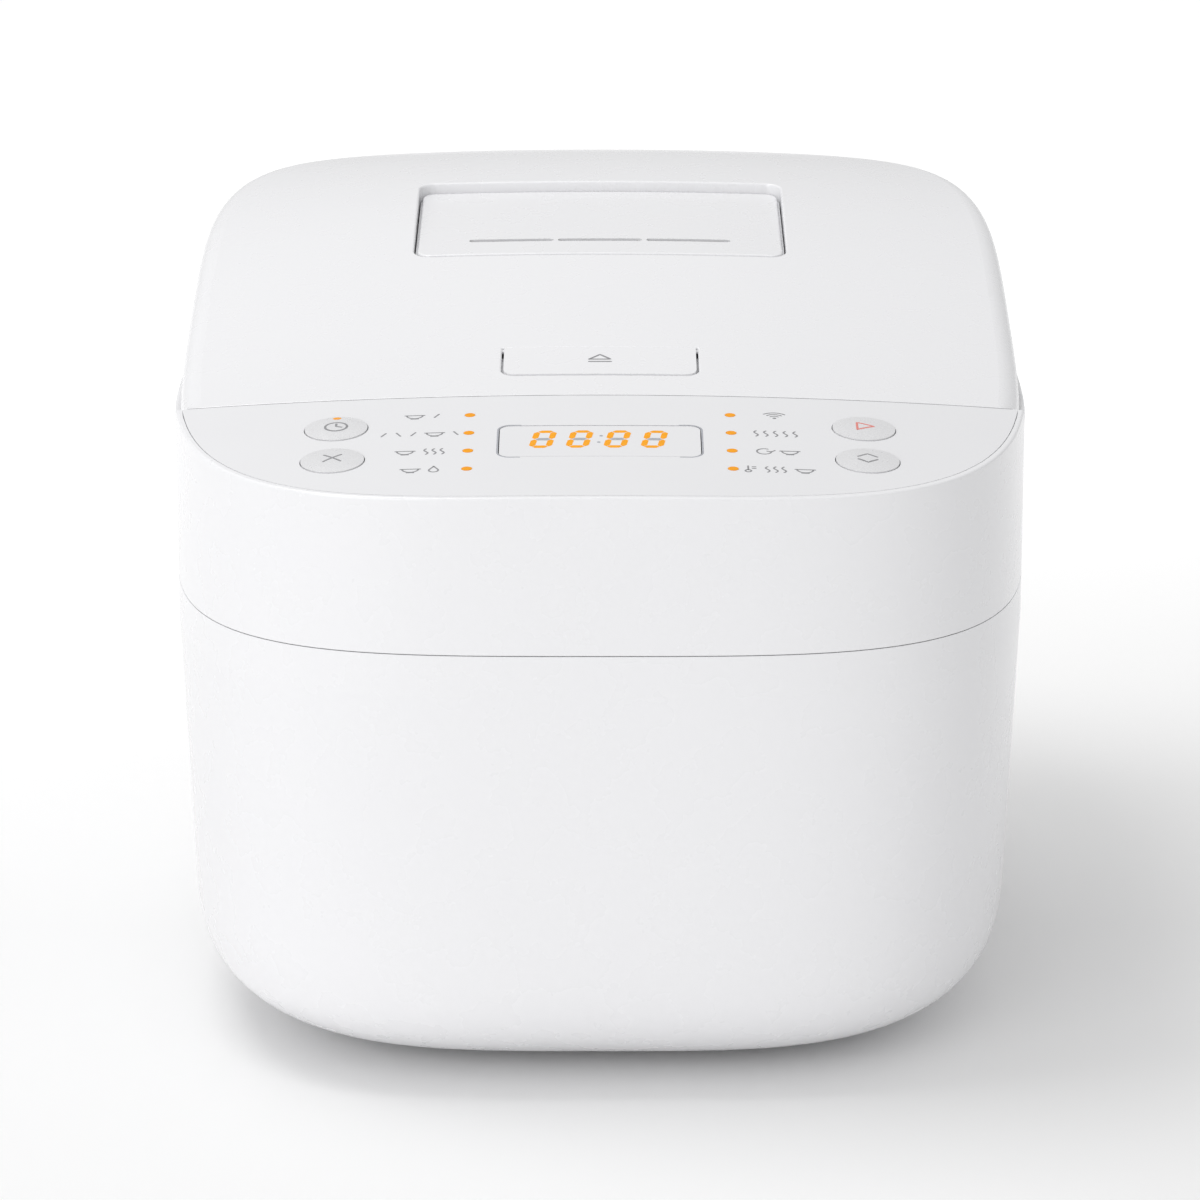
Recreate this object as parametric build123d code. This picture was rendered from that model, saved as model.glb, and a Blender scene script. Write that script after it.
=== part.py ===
from build123d import *
import math
import os

# Rice cooker. Millimetres, +Z up, the front faces -Y, and the origin lies on the floor
# under the middle of the cooker. Each function below makes one sub-part.

# ---- driving dimensions -------------------------------------------------------------
HALF_WIDTH = 135.0          # outer half width at the widest level
HALF_DEPTH = 170.0          # outer half depth at the widest level
PLAN_POWER = 3.7            # superellipse power of the plan outline
CORNER_STEPS = 12           # spline points in each quarter of an outline

FOOT_HEIGHT = 3.0
BASE_Z = FOOT_HEIGHT        # underside of the housing
WIDEST_Z = 132.0            # below this level the walls draw in
DRAFT = 0.044               # inward run per mm of height below the widest level
ROUND_IN = 57.0             # width of the rounded bottom edge
ROUND_UP = 40.0             # height of the rounded bottom edge
ROUND_POWER = 2.38
WALL = 2.5                  # outer wall
BAND_Z = 145.0              # seam between lower and upper housing
BAND_GAP = 0.3
JOIN = 0.2                  # overlap of features that grow out of the wall
RIM_ROUND = 0.8             # rounding of the rim's outer edge

SEAM_Y = -85.5              # lid seam, where the lid meets the control panel
SEAM_Z = 204.8              # height of the skin at the seam, on the centre line
SEAM_GAP = 0.6
PANEL_SLOPE = math.tan(math.radians(7.16))
CROWN = 2.75e-4             # the skin falls by CROWN * x^2 to each side
LID_SLOPE = 0.1544          # the lid's centre line rises by this per mm at the seam,
LID_LIFT = 8.077e-4         # plus this times the run squared,
LID_FALL = 3.896e-6         # less this times the run cubed
RIM_Z = 196.0               # top of the housing wall under the lid
RIM_GAP = 0.8
LIP = 1.6                   # width of the rim left round the control panel
PANEL_FIT = 0.25
PANEL_THICK = 2.2

LID_INSET = 1.8             # the lid stands this far inside the housing's outline
LID_EDGE = 7.0              # rounding of the lid's upper edge
LID_WALL = 2.2
LID_ROUND = 0.6             # rounding of the lid's front edge and of its openings
LID_FLOOR = RIM_Z + RIM_GAP
LINER_THICK = 2.2
LINER_TOP = LID_FLOOR + 0.1 + LINER_THICK
LINER_BACK = 150.0

POT_Y = 37.0                # centre of the pot
POT_RADIUS = 94.0           # outside of the pot wall
POT_WALL = 2.0
POT_FLANGE = 100.0
POT_BOTTOM = 52.0
DECK_Z = 190.0              # upper face of the deck round the pot's mouth
DECK_THICK = 2.5
DECK_OPENING = 98.5
LEDGE_WIDE = 3.0            # ledge on the wall that carries the deck
COLLAR_THICK = 0.8
CHAMBER_R = 99.2            # outside of the steel can round the pot
CHAMBER_WALL = 0.8
CHAMBER_FLOOR = 28.0
CHAMBER_LEG_R = 70.0        # the can stands on posts on this circle

HEATER_R = 82.0
HEATER_Z = 40.0             # underside of the heating plate
ELEMENT_R = 60.0
ELEMENT_TUBE = 4.5
SENSOR_R = 18.5

HINGE_Y = 162.0
HINGE_Z = 204.0
HINGE_PIN_R = 2.0
KNUCKLE_R = 3.4
EAR_X = 40.0                # middle of each hinge ear
EAR_WIDE = 6.0
KNUCKLE_X = 50.0            # middle of each of the lid's knuckles, outside the ears
KNUCKLE_HALF = 5.5
RUNNING = 0.05              # radial clearance of a turning fit

BUTTON_R = 9.65
BUTTON_GAP = 0.3
BUTTON_X = 81.0
BUTTON_ROWS = (-110.0, -136.3)
BUTTON_NAMES = {"timer": (-1, 0), "cancel": (-1, 1), "start": (1, 0), "select": (1, 1)}
DOME_R = 60.0               # radius of a button's domed top
DOME_TOP = 1.1              # height of the dome over the skin
LAMP_X = 40.1
LAMP_ROWS = (-101.6, -116.5, -131.2, -145.8)
LAMP_R = 1.6
DISPLAY_W = 62.0
DISPLAY_D = 26.0
DISPLAY_Y = -124.0
DISPLAY_CORNER = 3.6
BOARD_DROP = 12.4           # the control board's top lies this far under the skin
BOARD_THICK = 1.6

VENT_HALF = 61.5            # half width of the steam vent's recess
VENT_FRONT = 22.7
VENT_BACK = 93.6
VENT_CORNER = 5.5
VENT_FLOOR = 214.0
VENT_SINK = 3.15            # how far the cover's back edge lies under the skin
VENT_GAP = 1.2
VENT_STEP = 2.0             # a flange this far under the cover's top closes the gap below
FLANGE_GAP = 0.4
VENT_LINING = 1.8           # wall of the recess
COVER_ROUND = 0.7           # rounding of the vent cover's upper edge
SLIT_Y = 38.3
SLIT_WIDE = 2.6
DUCT_Y = 57.0
DUCT_R = 9.0
DUCT_BORE = 7.5

OPEN_HALF = 31.1            # half width of the opening for the lid's open button
OPEN_FRONT = -69.6
OPEN_BACK = -48.5
OPEN_CORNER = 4.4
OPEN_GAP = 0.7
OPEN_THICK = 2.2
OPEN_REAR_GAP = 0.15
OPEN_AXIS_Y = OPEN_BACK - 1.0
OPEN_AXIS_DROP = 1.3        # the button's pivots lie this far under the skin
PIVOT_R = 0.6
TAB_REACH = 0.9             # tabs under the open button's edges reach this far under the lid
TAB_INSIDE = 2.2
TAB_DROP = 0.3              # clearance between the lid's inside and the tabs
TAB_THICK = 0.8

LATCH_Y = -60.0             # pivot of the latch hook
LATCH_Z = 202.2
LATCH_PIN_R = 1.2
FOOT_X = 54.0
FOOT_Y = 82.0
FOOT_R = 8.0
COVER_X = 45.7              # half size of the bottom cover
COVER_Y = 75.7
SCREW_R = 1.5
SCREW_HEAD = 3.0
POWER_BOARD_Y = -85.0
WIRE_R = 1.1
INLET_X = 50.0
INLET_Z = 60.0


BOTTOM = (Align.CENTER, Align.CENTER, Align.MIN)


# ---- outlines and skins -------------------------------------------------------------
def squircle(half_w, half_d, z, x=0.0, y=0.0, power=PLAN_POWER):
    """Closed superellipse wire in the plane at z, made of four quarter splines."""

    def point(angle):
        c, s = abs(math.cos(angle)), abs(math.sin(angle))
        r = ((c / half_w) ** power + (s / half_d) ** power) ** (-1 / power)
        return Vector(x + r * math.cos(angle), y + r * math.sin(angle), z)

    edges = []
    for quarter in range(4):
        start = quarter * math.pi / 2
        stop = start + math.pi / 2
        points = [point(start + (stop - start) * k / CORNER_STEPS) for k in range(CORNER_STEPS + 1)]
        points[0] = Vector(x + half_w * round(math.cos(start)), y + half_d * round(math.sin(start)), z)
        points[-1] = Vector(x + half_w * round(math.cos(stop)), y + half_d * round(math.sin(stop)), z)
        tangents = [Vector(-math.sin(a), math.cos(a), 0) for a in (start, stop)]
        edges.append(Edge.make_spline(points, tangents=tangents))
    return Wire(edges)


def bottom_inset(z):
    """How far the wall stands inside the widest outline at height z above the base."""
    inset = DRAFT * max(WIDEST_Z - BASE_Z - z, 0)
    if z < ROUND_UP:
        share = (ROUND_UP - z) / ROUND_UP
        inset += ROUND_IN * (1 - (1 - share**ROUND_POWER) ** (1 / ROUND_POWER))
    return inset


def housing_solid(inset, top):
    """The housing's outer form, taken in by inset all round, from its base up to top."""
    base = BASE_Z + inset
    stretch = (ROUND_UP - inset) / ROUND_UP

    def section(z):
        taken = bottom_inset(z) + inset
        level = base + z * stretch if z < ROUND_UP else BASE_Z + z
        return squircle(HALF_WIDTH - taken, HALF_DEPTH - taken, level)

    angles = [math.radians(a) for a in (90, 80, 68, 56, 44, 32, 20, 9, 0)]
    levels = [ROUND_UP * (1 - math.sin(a) ** (2 / ROUND_POWER)) for a in angles]
    bowl = Solid.make_loft([section(z) for z in levels])
    waist = Solid.make_loft([section(ROUND_UP), section(WIDEST_Z - BASE_Z)], ruled=True)
    widest = squircle(HALF_WIDTH - inset, HALF_DEPTH - inset, WIDEST_Z)
    collar = Solid.extrude(Face(widest), Vector(0, 0, top - WIDEST_Z))
    return bowl + waist + collar


def prism(inset, low, high):
    """Upright prism on the widest outline, taken in by inset."""
    outline = Face(squircle(HALF_WIDTH - inset, HALF_DEPTH - inset, low))
    return Solid.extrude(outline, Vector(0, 0, high - low))


def crowned_section(y, z, floor):
    """Section across the cooker at y, with its top crowned by CROWN and a flat floor."""
    reach = 150.0
    drop = CROWN * reach**2
    top = Edge.make_three_point_arc((-reach, y, z - drop), (0, y, z), (reach, y, z - drop))
    corners = [Vector(reach, y, z - drop), Vector(reach, y, floor)]
    corners += [Vector(-reach, y, floor), Vector(-reach, y, z - drop)]
    sides = [Edge.make_line(a, b) for a, b in zip(corners, corners[1:])]
    return Wire([top] + sides)


def panel_z(y):
    """Height of the control panel's skin on the centre line."""
    return SEAM_Z - (SEAM_Y - y) * PANEL_SLOPE


def lid_z(y):
    """Height of the lid's skin on the centre line."""
    run = y - SEAM_Y
    if run < 0:
        return SEAM_Z + LID_SLOPE * run
    return SEAM_Z + LID_SLOPE * run + LID_LIFT * run**2 - LID_FALL * run**3


def under_panel(lift=0.0, floor=100.0, back=180.0):
    """Everything under the control panel's skin, moved by lift."""
    ends = [crowned_section(y, panel_z(y) + lift, floor) for y in (-180.0, back)]
    return Solid.make_loft(ends, ruled=True)


def under_lid(lift=0.0, floor=150.0):
    """Everything under the lid's skin, moved by lift."""
    stations = [SEAM_Y + 30.0 * k for k in range(-3, 9)] + [175.0]
    return Solid.make_loft([crowned_section(y, lid_z(y) + lift, floor) for y in stations])


def box(x0, x1, y0, y1, z0, z1):
    return Pos((x0 + x1) / 2, (y0 + y1) / 2, (z0 + z1) / 2) * Box(x1 - x0, y1 - y0, z1 - z0)


def post(x, y, z0, z1, r):
    return Pos(x, y, (z0 + z1) / 2) * Cylinder(r, z1 - z0)


def bar(x0, x1, y, z, r):
    """Round bar along X."""
    return Pos((x0 + x1) / 2, y, z) * (Rot(0, 90, 0) * Cylinder(r, x1 - x0))


def ring(x, y, z0, z1, outer, inner):
    return post(x, y, z0, z1, outer) - post(x, y, z0 - 1, z1 + 1, inner)


def slab(x0, x1, y0, y1, z0, z1, corner):
    """Plate with rounded upright corners."""
    outline = Pos((x0 + x1) / 2, (y0 + y1) / 2, z0) * RectangleRounded(x1 - x0, y1 - y0, corner)
    return extrude(outline, z1 - z0)


def profile_x(points, x0, x1):
    """Prism along X on a closed outline of (y, z) points."""
    outline = Face(Wire.make_polygon([Vector(x0, y, z) for y, z in points], close=True))
    return Solid.extrude(outline, Vector(x1 - x0, 0, 0))


def panel_tilt(x, y):
    """Placement on the panel's skin at (x, y), with its Z along the panel's normal."""
    z = panel_z(y) - CROWN * x**2
    lean_y = math.degrees(math.atan(2 * CROWN * x))
    return Pos(x, y, z) * Rot(math.degrees(math.atan(PANEL_SLOPE)), lean_y, 0)


def screw(x, y, head_z, tip_z):
    """Pan-head screw standing along Z, with its head at head_z."""
    step = 1.6 if tip_z < head_z else -1.6
    low, high = sorted((head_z, head_z + step))
    shank = post(x, y, min(head_z, tip_z), max(head_z, tip_z), SCREW_R)
    return post(x, y, low, high, SCREW_HEAD) + shank


def coil(radius, wire, height, turns):
    """Round-wire helix standing on z = 0."""
    path = Helix(pitch=(height - 2 * wire) / turns, height=height - 2 * wire, radius=radius)
    return Pos(0, 0, wire) * sweep(Plane(path @ 0, z_dir=path % 0) * Circle(wire), path, is_frenet=True)


def save(name, shape):
    solids = shape if isinstance(shape, list) else [shape]
    parts = [s for part in solids for s in part.solids()]
    export_step(Compound(children=parts) if len(parts) > 1 else parts[0], f"parts/{name}.step")


# ---- housing ------------------------------------------------------------------------
def base_housing():
    """Lower shell, with its ledge for the bottom cover and the posts that stand inside it."""
    shell = housing_solid(0, BAND_Z - BAND_GAP / 2) - housing_solid(WALL, BAND_Z + 20)
    shell -= slab(-COVER_X - 0.3, COVER_X + 0.3, -COVER_Y - 0.3, COVER_Y + 0.3, 0, 12, 5)
    ledge = slab(-COVER_X - 6, COVER_X + 6, -COVER_Y - 6, COVER_Y + 6, BASE_Z + WALL, BASE_Z + 5, 8)
    ledge -= slab(-COVER_X + 6, COVER_X - 6, -COVER_Y + 6, COVER_Y - 6, 0, 20, 5)
    shell += ledge
    for x, y in leg_points():
        shell += post(x, y, BASE_Z + 1.5, CHAMBER_FLOOR, 5) & housing_solid(1, BAND_Z)
    for side in (-1, 1):
        rail = box(side * 60 - 4, side * 60 + 4, POWER_BOARD_Y - 4, POWER_BOARD_Y + 5, BASE_Z + 1, 122)
        groove = box(side * 59 - 4, side * 59 + 4, POWER_BOARD_Y, POWER_BOARD_Y + 1.8, 20, 130)
        shell += (rail - groove) & housing_solid(1, BAND_Z)
    for x, y in cover_screw_points():
        shell -= post(x, y, 0, 20, SCREW_R)
    shell -= inlet_block()
    return shell


def upper_housing():
    """Upper shell: wall, rim, the recess for the control panel and the ledge under the deck."""
    seam = SEAM_Y - SEAM_GAP / 2
    front = box(-150, 150, -180, seam, 100, 260)
    back = box(-150, 150, seam, 180, 100, RIM_Z)
    shell = prism(0, BAND_Z + BAND_GAP / 2, 215) & ((under_panel() & front) + back)
    skins = [face for face in shell.faces() if face.normal_at().Z > 0.9 and face.center().Z > 190]
    rim = [edge for face in skins for edge in face.edges() if abs(edge.center().Y - seam) > 0.5]
    shell = fillet(rim, RIM_ROUND)
    shell -= prism(WALL, 100, 260)
    shell -= (prism(LIP, 150, 260) & front) - under_panel(-PANEL_THICK - 0.1)
    tongue = prism(WALL - JOIN, 137, BAND_Z + 4) - prism(WALL + 1.8, 130, BAND_Z + 10)
    tongue &= prism(WALL + 0.1, 130, BAND_Z + BAND_GAP / 2) + prism(1, BAND_Z + BAND_GAP / 2, BAND_Z + 10)
    low, high = DECK_Z - DECK_THICK - LEDGE_WIDE, DECK_Z - DECK_THICK
    ledge = prism(WALL - JOIN, low, high) - prism(WALL + LEDGE_WIDE, low - 1, high + 1)
    shell += tongue
    shell += ledge & box(-150, 150, seam - WALL, 180, 100, 200)
    return shell


def top_deck():
    """Deck round the pot's mouth, with the bulkhead under the lid's seam."""
    seam = SEAM_Y - SEAM_GAP / 2
    deck = box(-150, 150, seam - WALL, 180, DECK_Z - DECK_THICK, DECK_Z)
    deck += box(-150, 150, seam - WALL, seam, DECK_Z - DECK_THICK, 215)
    deck &= prism(WALL + PANEL_FIT / 2, 100, 260)
    deck &= under_panel(-PANEL_THICK - 0.1)
    deck -= post(0, POT_Y, 180, 200, DECK_OPENING)
    deck -= latch_slot()
    for x, y in ledge_points():
        deck -= post(x, y, 180, 200, SCREW_R)
    return deck


def latch_slot():
    return box(-7.6, 7.6, -81.3, -66, 180, 200)


def leg_points():
    angles = [math.radians(90 + 120 * k) for k in range(3)]
    return [(CHAMBER_LEG_R * math.cos(a), POT_Y + CHAMBER_LEG_R * math.sin(a)) for a in angles]


def cover_screw_points():
    return [(sx * (COVER_X - 3.5), sy * (COVER_Y - 12)) for sx in (-1, 1) for sy in (-1, 1)]


def ledge_points():
    """Screws that hold the hinge bracket on the deck."""
    return [(x, 154.5) for x in (-28, 28)]


def bottom_cover():
    plate = slab(-COVER_X, COVER_X, -COVER_Y, COVER_Y, BASE_Z, BASE_Z + WALL, 5)
    for k in range(-4, 5):
        plate -= slab(-22, 22, k * 9 - 1.4, k * 9 + 1.4, 0, 20, 1.3)
    for x, y in cover_screw_points():
        plate -= post(x, y, 0, 20, SCREW_R + 0.2)
        plate -= post(x, y, 0, BASE_Z + 1.0, SCREW_HEAD + 0.4)
    return plate


def cover_screws():
    return [screw(x, y, BASE_Z + 1.0, BASE_Z + 5) & box(-80, 80, -90, 90, BASE_Z + 0.2, 20)
            for x, y in cover_screw_points()]


def feet():
    pads = []
    for x in (-FOOT_X, FOOT_X):
        for y in (-FOOT_Y, FOOT_Y):
            pad = Pos(x, y, BASE_Z) * Rot(180, 0, 0) * Cone(FOOT_R, FOOT_R - 1, BASE_Z, align=BOTTOM)
            pads.append(pad)
    return pads


# ---- cooking chamber ----------------------------------------------------------------
def heat_shield():
    can = ring(0, POT_Y, CHAMBER_FLOOR, DECK_Z - DECK_THICK, CHAMBER_R, CHAMBER_R - CHAMBER_WALL)
    can += ring(0, POT_Y, CHAMBER_FLOOR, CHAMBER_FLOOR + CHAMBER_WALL, CHAMBER_R, SENSOR_R)
    for x, y in leg_points() + plate_legs():
        can -= post(x, y, 20, 40, SCREW_R)
    return can


def chamber_collar():
    """Steel ring that lines the deck's opening and carries the pot's flange."""
    top = ring(0, POT_Y, DECK_Z, DECK_Z + COLLAR_THICK, DECK_OPENING + 4, DECK_OPENING - 2)
    skirt = ring(0, POT_Y, DECK_Z - 10, DECK_Z + COLLAR_THICK, DECK_OPENING - 1.2, DECK_OPENING - 2)
    return top + skirt


def inner_pot():
    """Drawn pot with a rounded bottom edge, hollow inside, and a rolled flange."""
    top = DECK_Z + COLLAR_THICK + 2
    outer = fillet(post(0, POT_Y, POT_BOTTOM, top, POT_RADIUS).edges().sort_by(Axis.Z)[0], 22)
    bowl = post(0, POT_Y, POT_BOTTOM + POT_WALL, top + 5, POT_RADIUS - POT_WALL)
    bowl = fillet(bowl.edges().sort_by(Axis.Z)[0], 20)
    flange = ring(0, POT_Y, top - 2, top, POT_FLANGE, POT_RADIUS - 1)
    pot = outer - bowl + flange
    return pot


def heating_plate():
    plate = post(0, POT_Y, HEATER_Z, POT_BOTTOM - 0.2, HEATER_R)
    plate = chamfer(plate.edges().sort_by(Axis.Z)[-1], 8, 10)
    plate -= post(0, POT_Y, 0, 100, SENSOR_R + 0.5)
    plate -= element_ring()
    for x, y in plate_legs():
        plate += post(x, y, CHAMBER_FLOOR + CHAMBER_WALL, HEATER_Z + 1, 4)
        plate -= post(x, y, 0, HEATER_Z, SCREW_R)
    return plate


def element_ring():
    return Pos(0, POT_Y, HEATER_Z - 1.5) * Torus(ELEMENT_R, ELEMENT_TUBE)


def heating_element():
    """Tubular element cast into the plate's underside, with two upright terminals."""
    element = element_ring()
    for x in (-14, 14):
        element += post(x, POT_Y - ELEMENT_R + 2, CHAMBER_FLOOR + 1.5, HEATER_Z - 2, 2.2)
    return element


def plate_legs():
    angles = [math.radians(30 + 120 * k) for k in range(3)]
    return [(38 * math.cos(a), POT_Y + 38 * math.sin(a)) for a in angles]


def plate_screws():
    return [screw(x, y, CHAMBER_FLOOR, HEATER_Z - 2) for x, y in plate_legs()]


def thermal_fuse():
    """Fuse capsule and the clip that holds it against the heating plate."""
    capsule = bar(20, 34, POT_Y - 4, HEATER_Z - 2.4, 2.4)
    return capsule + box(24, 30, POT_Y - 9, POT_Y + 1, HEATER_Z - 1, HEATER_Z)


def sensor_housing():
    wall = ring(0, POT_Y, 22, 40, SENSOR_R, SENSOR_R - 1.5)
    return wall + post(0, POT_Y, 22, 24, SENSOR_R) + ring(0, POT_Y, 28.8, 30.3, SENSOR_R + 4, SENSOR_R - 1)


def sensor_cap():
    top = POT_BOTTOM - 0.3
    radius = SENSOR_R - 1.8
    skirt = ring(0, POT_Y, 33, top, radius, radius - 1.5)
    return skirt + post(0, POT_Y, top - 1.6, top, radius)


def sensor_spring():
    return Pos(0, POT_Y, 24.2) * coil(8, 0.8, POT_BOTTOM - 2.2 - 24.2, 6)


# ---- electrics ----------------------------------------------------------------------
def power_board():
    return box(-62.6, 62.6, POWER_BOARD_Y + 0.1, POWER_BOARD_Y + 1.7, 22, 120)


def transformer():
    """Laminated core with its wound bobbin, on the front of the power board."""
    y = POWER_BOARD_Y + 0.1
    core = box(-50, -10, y - 20, y, 36, 70)
    winding = slab_y(-41, -19, y - 29, y, 32, 74, 4)
    return core + winding


def relay():
    y = POWER_BOARD_Y + 0.1
    return box(12, 32, y - 16, y, 40, 68)


def capacitors():
    y = POWER_BOARD_Y + 0.1
    places = ((-40, 84, 8, 22), (-18, 82, 6, 16), (40, 84, 5, 12))
    return [Pos(x, y, z) * Rot(90, 0, 0) * Cylinder(r, h, align=BOTTOM) for x, z, r, h in places]


def wire_harness():
    """Connector on the power board and the wires up to the control board."""
    y = POWER_BOARD_Y + 0.1
    top = panel_z(-101) - BOARD_DROP - BOARD_THICK - 0.6
    block = box(-13, 13, y - 18, y, 108, 118)
    for x in (-9, -4.5, 0, 4.5, 9):
        block += post(x, -101, 117, top, WIRE_R)
    return block


def inlet_block():
    return slab_y(INLET_X - 22, INLET_X + 22, 140, 167.4, INLET_Z - 15, INLET_Z + 15, 3)


def slab_y(x0, x1, y0, y1, z0, z1, corner):
    """Block along Y with rounded edges along Y."""
    outline = Plane.XZ * RectangleRounded(x1 - x0, z1 - z0, corner)
    block = extrude(outline, y1 - y0)
    return Pos((x0 + x1) / 2, y1, (z0 + z1) / 2) * block


def power_inlet():
    cavity = slab_y(INLET_X - 13, INLET_X + 13, 148, 180, INLET_Z - 9.5, INLET_Z + 9.5, 3)
    body = inlet_block() - cavity
    for pin in inlet_pins():
        body -= pin
    return body


def inlet_pins():
    pins = [box(INLET_X + x - 1, INLET_X + x + 1, 142, 163, INLET_Z + z - 3, INLET_Z + z + 3)
            for x, z in ((-7, -2), (7, -2), (0, 3))]
    return pins


def control_board():
    plate = Box(176, 54, BOARD_THICK, align=(Align.CENTER, Align.CENTER, Align.MAX))
    board = panel_flat(-126, -BOARD_DROP) * plate
    for x, y in board_posts():
        board -= panel_flat(y, 0) * Pos(x, 0, -BOARD_DROP) * Cylinder(SCREW_R + 0.1, 20)
    return board


def panel_flat(y, lift=0.0):
    """Placement on the panel's centre line at y, with its Z along the slope's normal."""
    return Pos(0, y, panel_z(y)) * Rot(math.degrees(math.atan(PANEL_SLOPE)), 0, 0) * Pos(0, 0, lift)


def board_posts():
    return [(x, y) for x in (-64, 64) for y in (-103, -149)]


def control_panel():
    """Sloping skin with its openings, and the posts that carry the control board."""
    region = prism(LIP + PANEL_FIT, 150, 260) & box(-150, 150, -180, SEAM_Y - SEAM_GAP / 2, 100, 260)
    panel = region & (under_panel() - under_panel(-PANEL_THICK))
    for x, y in board_posts():
        stud = panel_flat(y) * Pos(x, 0, -BOARD_DROP) * Cylinder(3.2, 12, align=BOTTOM)
        panel += stud & under_panel(-1)
        panel -= panel_flat(y) * Pos(x, 0, -BOARD_DROP - 1) * Cylinder(SCREW_R, 9, align=BOTTOM)
    panel -= display_prism(DISPLAY_W / 2, DISPLAY_D / 2, DISPLAY_CORNER)
    for side, row in BUTTON_NAMES.values():
        panel -= panel_tilt(side * BUTTON_X, BUTTON_ROWS[row]) * Cylinder(BUTTON_R + BUTTON_GAP, 20)
    for x, y in lamp_points():
        panel -= panel_tilt(x, y) * Cylinder(LAMP_R + 0.1, 12)
    return panel


def display_prism(half_w, half_d, corner):
    return panel_flat(DISPLAY_Y) * extrude(Pos(0, 0, -8) * RectangleRounded(2 * half_w, 2 * half_d, corner), 16)


def display_window():
    plate = display_prism(DISPLAY_W / 2 - 0.35, DISPLAY_D / 2 - 0.35, DISPLAY_CORNER - 0.3)
    return plate & (under_panel(-0.1) - under_panel(-PANEL_THICK))


def display_module():
    body = Box(58, 22, BOARD_DROP - PANEL_THICK - 0.4, align=BOTTOM)
    return panel_flat(DISPLAY_Y, -BOARD_DROP) * body


def lamp_points():
    return [(side * LAMP_X, y) for side in (-1, 1) for y in LAMP_ROWS]


def indicator_lamps():
    """Light pipes from the control board up through the panel, one at each lamp."""
    pipes = []
    for x, y in lamp_points():
        pipes.append(panel_tilt(x, y) * Pos(0, 0, -9) * Cylinder(LAMP_R, 9.05, align=BOTTOM))
    return pipes


def board_screws():
    under = -BOARD_DROP - BOARD_THICK
    return [panel_flat(y, under) * Pos(x, 0, 0) * screw(0, 0, -1.6, 9) for x, y in board_posts()]


def button_switches():
    """Tactile switches on the control board, one under each button."""
    switches = []
    for side, row in BUTTON_NAMES.values():
        place = panel_flat(BUTTON_ROWS[row], -BOARD_DROP) * Pos(side * BUTTON_X, 0, 0)
        body = place * Box(6, 6, 3.2, align=BOTTOM)
        switches.append(body + place * Cylinder(1.7, 4.2, align=BOTTOM))
    return switches


def buzzer():
    return panel_flat(-108, -BOARD_DROP - BOARD_THICK) * Pos(48, 0, -8) * Cylinder(6, 8, align=BOTTOM)


def panel_button(name):
    """Domed cap with a shallow skirt and the stem that presses its switch."""
    side, row = BUTTON_NAMES[name]
    cap = Cylinder(BUTTON_R, 6, align=(Align.CENTER, Align.CENTER, Align.MAX))
    cap = (Pos(0, 0, DOME_TOP) * cap) & (Pos(0, 0, DOME_TOP - DOME_R) * Sphere(DOME_R))
    cap -= Pos(0, 0, -1.6) * Cylinder(BUTTON_R - 1.4, 8, align=(Align.CENTER, Align.CENTER, Align.MAX))
    cap += Pos(0, 0, -5.1) * Cylinder(2.2, 4.2, align=BOTTOM)
    if name == "timer":
        cap -= timer_lamp_solid()
    return panel_tilt(side * BUTTON_X, BUTTON_ROWS[row]) * cap


def timer_lamp_solid():
    dome = Pos(0, 0, DOME_TOP - DOME_R) * Sphere(DOME_R + 0.05)
    return Pos(0, BUTTON_R - 2.1, -0.9) * Cylinder(1.3, 2.4, align=BOTTOM) & dome


def timer_lamp():
    side, row = BUTTON_NAMES["timer"]
    return panel_tilt(side * BUTTON_X, BUTTON_ROWS[row]) * timer_lamp_solid()


# ---- hinge and latch ----------------------------------------------------------------
def hinge_bracket():
    plate = box(-50, 50, 150.5, 165.4, DECK_Z, DECK_Z + 2)
    for side in (-1, 1):
        x0, x1 = side * EAR_X - EAR_WIDE / 2, side * EAR_X + EAR_WIDE / 2
        plate += box(x0, x1, HINGE_Y - KNUCKLE_R, HINGE_Y + KNUCKLE_R, DECK_Z, HINGE_Z)
        plate += bar(x0, x1, HINGE_Y, HINGE_Z, KNUCKLE_R)
    plate -= bar(-60, 60, HINGE_Y, HINGE_Z, HINGE_PIN_R + RUNNING)
    for x, y in ledge_points():
        plate -= post(x, y, 180, 200, SCREW_R)
    return plate & prism(WALL + 0.2, 100, 260)


def bracket_screws():
    return [screw(x, y, DECK_Z + 2, DECK_Z - 8) & box(-60, 60, 140, 170, 170, DECK_Z + 2) +
            post(x, y, DECK_Z + 2, DECK_Z + 3.6, SCREW_HEAD) for x, y in ledge_points()]


def hinge_pin():
    return bar(-57, 57, HINGE_Y, HINGE_Z, HINGE_PIN_R)


def lid_spring():
    """Torsion spring round the hinge pin."""
    wound = Pos(-14, HINGE_Y, HINGE_Z) * Rot(0, 90, 0) * coil(2.95, 0.5, 28, 20)
    return wound


def latch_catch():
    """Steel plate under the deck, with the slot that the hook reaches through."""
    plate = box(-15, 15, -85.6, -62.6, DECK_Z - DECK_THICK - 1.2, DECK_Z - DECK_THICK)
    return plate - latch_slot()


def latch_hook():
    """Bell-crank: a barrel on the pin, a pad under the button, and a leg with a nose."""
    side = ((LATCH_Y, 199.6), (-66.5, 200.4), (-74.5, 200.4), (-74.5, 185.2), (-78.8, 185.2), (-80.4, 186.4),
            (-80.4, 187.2), (-78, 188.4), (-78, 202.6), (-77.2, 203.3), (-69.6, 203.3), (-69.2, 204.9),
            (-66.6, 204.9), (-64, 203.9), (LATCH_Y, 204.8))
    hook = profile_x(side, -6, 6) + bar(-11.2, 11.2, LATCH_Y, LATCH_Z, 2.6)
    return hook - bar(-20, 20, LATCH_Y, LATCH_Z, LATCH_PIN_R + RUNNING)


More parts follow.
